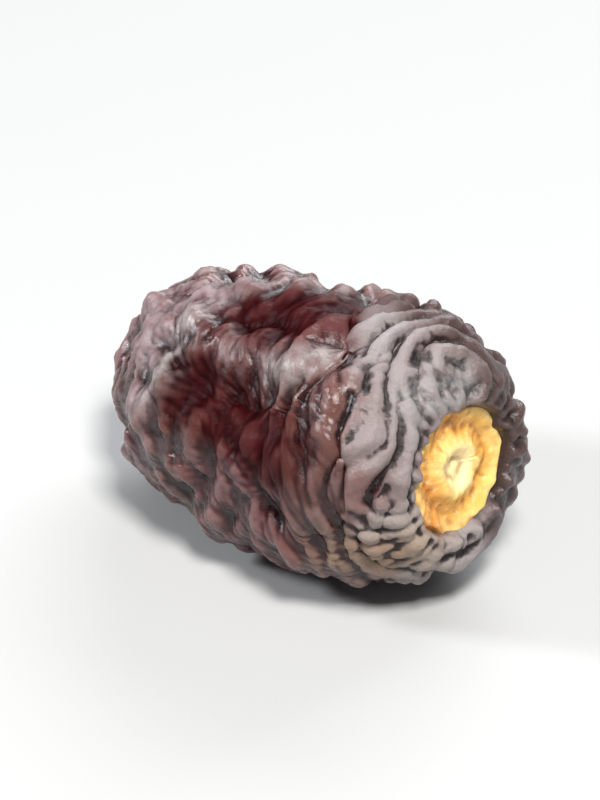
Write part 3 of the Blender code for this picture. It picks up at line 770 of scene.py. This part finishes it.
def disc_top(share, angles):
    """The height of the disc's upper side over its back at that share of its radius."""
    height = eased(share, DISC_PROFILE) * DISC_THICKNESS
    places = np.stack((share * np.cos(angles), share * np.sin(angles), 0.0 * share), axis=1)
    inner = smooth_step(0.12, 0.26, share) * smooth_step(0.60, 0.44, share)
    outer = smooth_step(0.60, 0.74, share)
    height += INNER_PETAL_STEP * inner * (whorl_step(angles + 0.5 * share, 0.10) - 0.5)
    height += OUTER_PETAL_STEP * outer * (whorl_step(angles - 0.3 * share, 0.62) - 0.5)
    height += BUCKLE_HEIGHT * undulation(places, 0.42, seed=121)
    height += SMALL_BUCKLE_HEIGHT * undulation(places, 0.17, seed=122)
    fibres = np.stack((6.0 * np.cos(angles), 6.0 * np.sin(angles), 1.5 * share), axis=1)
    height += FIBRE_HEIGHT * undulation(fibres, 1.3, seed=123) * smooth_step(0.15, 0.4, share)
    return height


def disc_outline(angles):
    """The disc's radius all round: three blunt lobes with small nicks."""
    lobe = 0.04 * np.cos(DISC_LOBES * angles + 0.6) + 0.02 * np.cos(7.0 * angles + 1.9)
    places = np.stack((np.cos(angles), np.sin(angles), 0.0 * angles), axis=1)
    return DISC_RADIUS * (1.0 + lobe + 0.012 * undulation(places, 0.35, seed=124))


def build_disc():
    """The perianth's mesh: a line of points spun into a disc, then shaped ring by ring."""
    grid = bmesh.new()
    top = [(ring / DISC_RINGS, 0.0) for ring in range(DISC_RINGS + 1)]
    side = [(1.0, (row + 1) / DISC_SIDE_ROWS) for row in range(DISC_SIDE_ROWS)]
    previous = None
    for share, drop in top + side:
        vertex = grid.verts.new((share, 0.0, -drop))
        if previous is not None:
            grid.edges.new((previous, vertex))
        previous = vertex
    bmesh.ops.spin(
        grid, geom=grid.verts[:] + grid.edges[:], axis=(0.0, 0.0, 1.0), cent=(0.0, 0.0, 0.0),
        angle=2.0 * math.pi, steps=DISC_STEPS, use_duplicate=False,
    )
    bmesh.ops.remove_doubles(grid, verts=grid.verts[:], dist=1e-5)
    rim = [edge for edge in grid.edges if edge.is_boundary]
    bmesh.ops.contextual_create(grid, geom=rim)
    bmesh.ops.recalc_face_normals(grid, faces=grid.faces[:])
    points = vertex_array(grid)
    share = np.hypot(points[:, 0], points[:, 1])
    angles = np.arctan2(points[:, 1], points[:, 0])
    drop = -points[:, 2]
    radius = share * disc_outline(angles) * (1.0 - 0.08 * drop**2)
    height = disc_top(np.minimum(share, 1.0), angles) * (1.0 - drop)
    place_vertices(grid, np.stack((radius * np.cos(angles), radius * np.sin(angles), height), axis=1))
    grid.verts.index_update()
    points = vertex_array(grid)
    mesh, normals, edges = finished_mesh(grid, "disc")
    add_attribute(mesh, "ring", share)
    add_attribute(mesh, "fine", relief(points, normals, edges, HUSK_ROUNDS))
    places = np.stack((share * np.cos(angles), share * np.sin(angles)), axis=1)
    warm = [np.exp(-((np.linalg.norm(places - place, axis=1) / size) ** 2)) for place, size in WARM_PLACES]
    add_attribute(mesh, "warm", np.max(warm, axis=0))
    return mesh


def place_disc(disc, scale, shift):
    """Lays the disc into the skin's seat."""
    seat = Vector((SEAT_X + DISC_GAP, 0.0, 0.0))
    seat.rotate(Euler((0.0, -REST_PITCH, 0.0)))
    disc.location = Vector(np.array(seat) * scale + shift)
    disc.rotation_euler = (0.0, math.pi / 2.0 - REST_PITCH, 0.0)


class NodeMaker:
    """Short calls that add shader nodes to one material."""

    def __init__(self, name):
        self.material = bpy.data.materials.new(name)
        self.material.use_nodes = True
        self.nodes = self.material.node_tree.nodes
        self.links = self.material.node_tree.links
        self.shader = self.nodes["Principled BSDF"]
        self.coordinates = self.nodes.new("ShaderNodeTexCoord").outputs["Object"]

    def put(self, socket, value):
        """Links an output to the socket, or sets the socket's own value."""
        if isinstance(value, bpy.types.NodeSocket):
            self.links.new(value, socket)
        elif isinstance(value, tuple):
            socket.default_value = (*value, 1.0)
        else:
            socket.default_value = value

    def attribute(self, name):
        """A number stored at each vertex."""
        node = self.nodes.new("ShaderNodeAttribute")
        node.attribute_name = name
        return node.outputs["Fac"]

    def noise(self, scale, detail=4.0, roughness=0.6):
        """Noise with that many waves to the metre."""
        node = self.nodes.new("ShaderNodeTexNoise")
        node.inputs["Scale"].default_value = scale
        node.inputs["Detail"].default_value = detail
        node.inputs["Roughness"].default_value = roughness
        self.links.new(self.coordinates, node.inputs["Vector"])
        return node.outputs["Fac"]

    def maths(self, operation, first, second):
        """One step of arithmetic."""
        node = self.nodes.new("ShaderNodeMath")
        node.operation = operation
        self.put(node.inputs[0], first)
        self.put(node.inputs[1], second)
        return node.outputs[0]

    def times(self, first, second):
        """The product of two numbers."""
        return self.maths("MULTIPLY", first, second)

    def plus(self, first, second):
        """The sum of two numbers."""
        return self.maths("ADD", first, second)

    def between(self, value, low, high, start=0.0, end=1.0):
        """start up to low and end from high."""
        node = self.nodes.new("ShaderNodeMapRange")
        node.clamp = True
        for socket, number in zip(node.inputs, (value, low, high, start, end)):
            self.put(socket, number)
        return node.outputs[0]

    def ramp(self, value, stops):
        """The colour at that value, from (value, colour) stops."""
        node = self.nodes.new("ShaderNodeValToRGB")
        elements = node.color_ramp.elements
        elements.remove(elements[-1])
        elements[0].position, first_colour = stops[0]
        elements[0].color = (*first_colour, 1.0)
        for place, colour in stops[1:]:
            elements.new(place).color = (*colour, 1.0)
        self.links.new(value, node.inputs[0])
        return node.outputs[0]

    def mix(self, share, first, second):
        """The first colour, turned to the second by that share."""
        node = self.nodes.new("ShaderNodeMix")
        node.data_type = "RGBA"
        node.clamp_factor = True
        self.put(node.inputs["Factor"], share)
        self.put(node.inputs[6], first)
        self.put(node.inputs[7], second)
        return node.outputs[2]

    def bump(self, height, distance, strength):
        """Small relief on the shader's normal."""
        node = self.nodes.new("ShaderNodeBump")
        self.put(node.inputs["Strength"], strength)
        node.inputs["Distance"].default_value = distance
        self.links.new(height, node.inputs["Height"])
        self.links.new(node.outputs["Normal"], self.shader.inputs["Normal"])


def skin_material():
    """Dark maroon skin, wine red in some hollows, dusty grey on its ridges and over the stem end's cap, with
    painted shade in its creases and on its far side and painted highlight and sheen on its ridges and upper
    side.
    """
    maker = NodeMaker("date_skin_wrinkled")
    fine, broad = maker.attribute("fine"), maker.attribute("broad")
    wine, upper = maker.attribute("wine"), maker.attribute("upper")
    # The relief's height: the colour ramps below make low places darker as painted shade and high ones
    # lighter as painted light.
    height = maker.plus(maker.times(fine, 0.55), maker.times(broad, 0.45))
    blotch, veil = maker.noise(*BLOTCH_NOISE), maker.noise(*VEIL_NOISE)
    mottle, speck = maker.noise(*MOTTLE_NOISE), maker.noise(*SPECK_NOISE)

    # Brown skin in maroon blotches, and the wine-red hollows, whose extra darkness is partly painted shade.
    reddish = maker.between(blotch, 0.42, 0.60)
    colour = maker.mix(reddish, maker.ramp(height, BROWN_STOPS), maker.ramp(height, MAROON_STOPS))
    wine_here = maker.times(wine, maker.between(mottle, 0.35, 0.60, 0.8, 1.0))
    colour = maker.mix(wine_here, colour, maker.ramp(height, WINE_STOPS))

    # Dust on the ridges, partly painted highlight, and a bloom in patches, partly painted sheen, both
    # outside the wine-red hollows and both laid on more thickly on the upper side as painted light from
    # above; and a painted pale highlight along single ridges.
    clothed = maker.between(wine, 0.1, 0.6, 1.0, 0.0)
    dust_and_highlight = maker.times(maker.between(height, 0.52, 0.72), maker.between(mottle, 0.40, 0.64))
    dust_and_highlight = maker.times(dust_and_highlight, clothed)
    dust_and_highlight = maker.times(dust_and_highlight, maker.between(speck, 0.35, 0.65, 0.3, 0.9))
    # More on the upper side: painted highlight where the light falls from above.
    dust_and_highlight = maker.times(dust_and_highlight, maker.between(upper, 0.0, 1.0, 0.35, 1.0))
    colour = maker.mix(dust_and_highlight, colour, DUST_AND_HIGHLIGHT_COLOUR)
    bloom_and_sheen = maker.times(maker.between(veil, 0.47, 0.63, 0.0, 0.36), clothed)
    # Far more on the upper side: painted sheen where the light falls from above.
    bloom_and_sheen = maker.times(bloom_and_sheen, maker.between(upper, 0.0, 1.0, 0.15, 2.1))
    colour = maker.mix(bloom_and_sheen, colour, BLOOM_AND_SHEEN_COLOUR)
    # A painted pale highlight along single ridges.
    pale = maker.times(maker.attribute("pale"), maker.between(speck, 0.35, 0.62, 0.35, 0.85))
    colour = maker.mix(maker.times(pale, maker.between(height, 0.40, 0.62)), colour, RIDGE_HIGHLIGHT_COLOUR)

    # The crumpled cap, pale with bloom and with painted shade in its creases, with grit in it, its tan
    # ridges, painted shade on its far side and its chalky smooth place, which is partly painted highlight.
    coarse_grit = maker.between(mottle, 0.3, 0.7, -0.10, 0.10)
    fine_grit = maker.between(speck, 0.3, 0.7, -0.14, 0.14)
    cap_height = maker.plus(maker.times(fine, 0.8), maker.times(broad, 0.2))
    cap_height = maker.plus(cap_height, maker.plus(coarse_grit, fine_grit))
    cap_here = maker.times(maker.attribute("cap"), maker.between(blotch, 0.34, 0.54, 0.35, 1.0))
    colour = maker.mix(cap_here, colour, maker.ramp(cap_height, CAP_STOPS))
    tan = maker.times(maker.times(maker.attribute("tan"), 0.6), maker.between(height, 0.50, 0.66))
    colour = maker.mix(tan, colour, TAN_COLOUR)
    # Painted shade on the far side towards the stem end, a little less on the ridges.
    far = maker.times(maker.times(maker.attribute("far"), 0.9), maker.between(height, 0.60, 1.0, 1.0, 0.7))
    colour = maker.mix(far, colour, FAR_SHADE_COLOUR)
    # Chalky bloom on the smooth place, partly painted highlight.
    chalk_and_highlight = maker.times(maker.attribute("smooth"), maker.between(speck, 0.40, 0.60, 0.20, 0.75))
    maker.put(maker.shader.inputs["Base Color"], maker.mix(chalk_and_highlight, colour, CHALK_AND_HIGHLIGHT_COLOUR))

    # Bare skin has a satin sheen, and the dusty ridges and bloom patches, partly painted highlight and
    # sheen, and the cap are duller.
    grain = maker.plus(maker.times(mottle, 0.7), maker.times(speck, 0.3))
    roughness = maker.between(grain, 0.35, 0.65, 0.16, 0.32)
    for layer, rise in ((wine, 0.20), (dust_and_highlight, 0.25), (bloom_and_sheen, 0.35), (cap_here, 0.28)):
        roughness = maker.plus(roughness, maker.times(layer, rise))
    maker.put(maker.shader.inputs["Roughness"], roughness)
    sheen = maker.between(maker.times(upper, clothed), 0.0, 1.0, 0.0, 0.26)
    sheen = maker.plus(sheen, maker.between(wine, 0.1, 0.6, 0.42, 0.05))
    maker.put(maker.shader.inputs["Specular IOR Level"], sheen)
    crinkled = maker.between(cap_here, 0.0, 1.0, 0.35, 0.80)
    maker.bump(maker.noise(*CRINKLE_NOISE), CRINKLE_HEIGHT, crinkled)
    return maker.material


def fibre_material():
    """Dry fibrous husk: pale yellow at the scar, golden on the petals, orange brown in groove and edge,
    partly painted shade, and painted shade in its creases.
    """
    maker = NodeMaker("perianth_fibre_dry")
    ring, fine, warm = maker.attribute("ring"), maker.attribute("fine"), maker.attribute("warm")
    blotch, streak = maker.noise(*HUSK_BLOTCH_NOISE), maker.noise(*STREAK_NOISE)
    colour = maker.ramp(maker.plus(ring, maker.between(blotch, 0.2, 0.8, -0.14, 0.14)), HUSK_STOPS)
    warm_here = maker.times(warm, maker.between(blotch, 0.30, 0.50, 0.35, 0.85))
    stain = maker.maths("MAXIMUM", maker.times(maker.between(blotch, 0.54, 0.68), 0.45), warm_here)
    colour = maker.mix(stain, colour, WARM_COLOUR)
    # Painted shade in the husk's creases.
    colour = maker.mix(maker.times(maker.between(fine, 0.46, 0.24), 0.6), colour, CREASE_SHADE_COLOUR)
    colour = maker.mix(maker.times(maker.between(streak, 0.52, 0.70), 0.35), colour, STRAW_COLOUR)
    maker.put(maker.shader.inputs["Base Color"], colour)
    maker.put(maker.shader.inputs["Roughness"], maker.between(streak, 0.3, 0.7, 0.62, 0.48))
    maker.bump(streak, STREAK_HEIGHT, 0.6)
    return maker.material


def plain_material(name, colour, roughness):
    """A plain material for the floor."""
    made = bpy.data.materials.new(name)
    made.use_nodes = True
    shader = made.node_tree.nodes["Principled BSDF"]
    shader.inputs["Base Color"].default_value = (*colour, 1.0)
    shader.inputs["Roughness"].default_value = roughness
    return made


def add_floor():
    """A plain pale floor under the fruit."""
    grid = bmesh.new()
    bmesh.ops.create_grid(grid, x_segments=1, y_segments=1, size=1.0)
    mesh = bpy.data.meshes.new("floor")
    grid.to_mesh(mesh)
    grid.free()
    mesh.materials.append(plain_material("floor_pale", FLOOR_COLOUR, FLOOR_ROUGHNESS))
    new_object("floor", mesh)


def add_area_light(name, aim, offset, size, power, colour):
    """A soft rectangular light that looks at the aim."""
    light = bpy.data.lights.new(name, "AREA")
    light.shape = "RECTANGLE"
    light.size, light.size_y = size
    light.energy = power
    light.color = colour
    lamp = bpy.data.objects.new(name, light)
    lamp.location = aim + Vector(offset)
    lamp.rotation_euler = (-Vector(offset)).to_track_quat("-Z", "Y").to_euler()
    bpy.context.scene.collection.objects.link(lamp)


def add_lights(aim):
    """Soft studio light: a key from the right front, a fill from the left, one behind and a dim sky."""
    for name, offset, size, power, colour in LIGHTS:
        add_area_light(name, aim, offset, size, power, colour)
    world = bpy.data.worlds.new("studio")
    world.use_nodes = True
    background = world.node_tree.nodes["Background"]
    background.inputs["Color"].default_value = (*WORLD_COLOUR, 1.0)
    background.inputs["Strength"].default_value = WORLD_STRENGTH
    bpy.context.scene.world = world


def add_camera(aim):
    """The camera, which looks down at the stem end and the side beside it."""
    back = Vector(
        (
            math.sin(VIEW_AZIMUTH) * math.cos(VIEW_ELEVATION),
            -math.cos(VIEW_AZIMUTH) * math.cos(VIEW_ELEVATION),
            math.sin(VIEW_ELEVATION),
        )
    )
    lens = bpy.data.cameras.new("camera")
    lens.lens = CAMERA_LENS
    lens.clip_start = 0.01
    camera = bpy.data.objects.new("camera", lens)
    camera.location = aim + back * CAMERA_DISTANCE
    camera.rotation_euler = (-back).to_track_quat("-Z", "Y").to_euler()
    bpy.context.scene.collection.objects.link(camera)
    bpy.context.scene.camera = camera


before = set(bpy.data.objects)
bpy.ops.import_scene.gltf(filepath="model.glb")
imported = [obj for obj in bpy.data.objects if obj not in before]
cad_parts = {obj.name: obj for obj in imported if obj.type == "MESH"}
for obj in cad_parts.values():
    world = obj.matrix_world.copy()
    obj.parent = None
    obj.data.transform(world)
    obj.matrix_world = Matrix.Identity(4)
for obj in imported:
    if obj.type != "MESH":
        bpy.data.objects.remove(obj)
cad_low, cad_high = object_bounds()
middle = (cad_low + cad_high) / 2.0

add_camera(middle)
add_lights(middle)
add_floor()
bpy.context.scene.view_settings.view_transform = "Standard"

skin_mesh, skin_scale, skin_shift = build_skin()
skin_mesh.materials.append(skin_material())
skin = new_object("wrinkled_skin", skin_mesh)
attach(skin, "root")
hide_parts("date_fruit")

disc_mesh = build_disc()
disc_mesh.materials.append(fibre_material())
disc = new_object("perianth_whorl", disc_mesh)
place_disc(disc, skin_scale, skin_shift)
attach(disc, "root")
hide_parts("perianth")
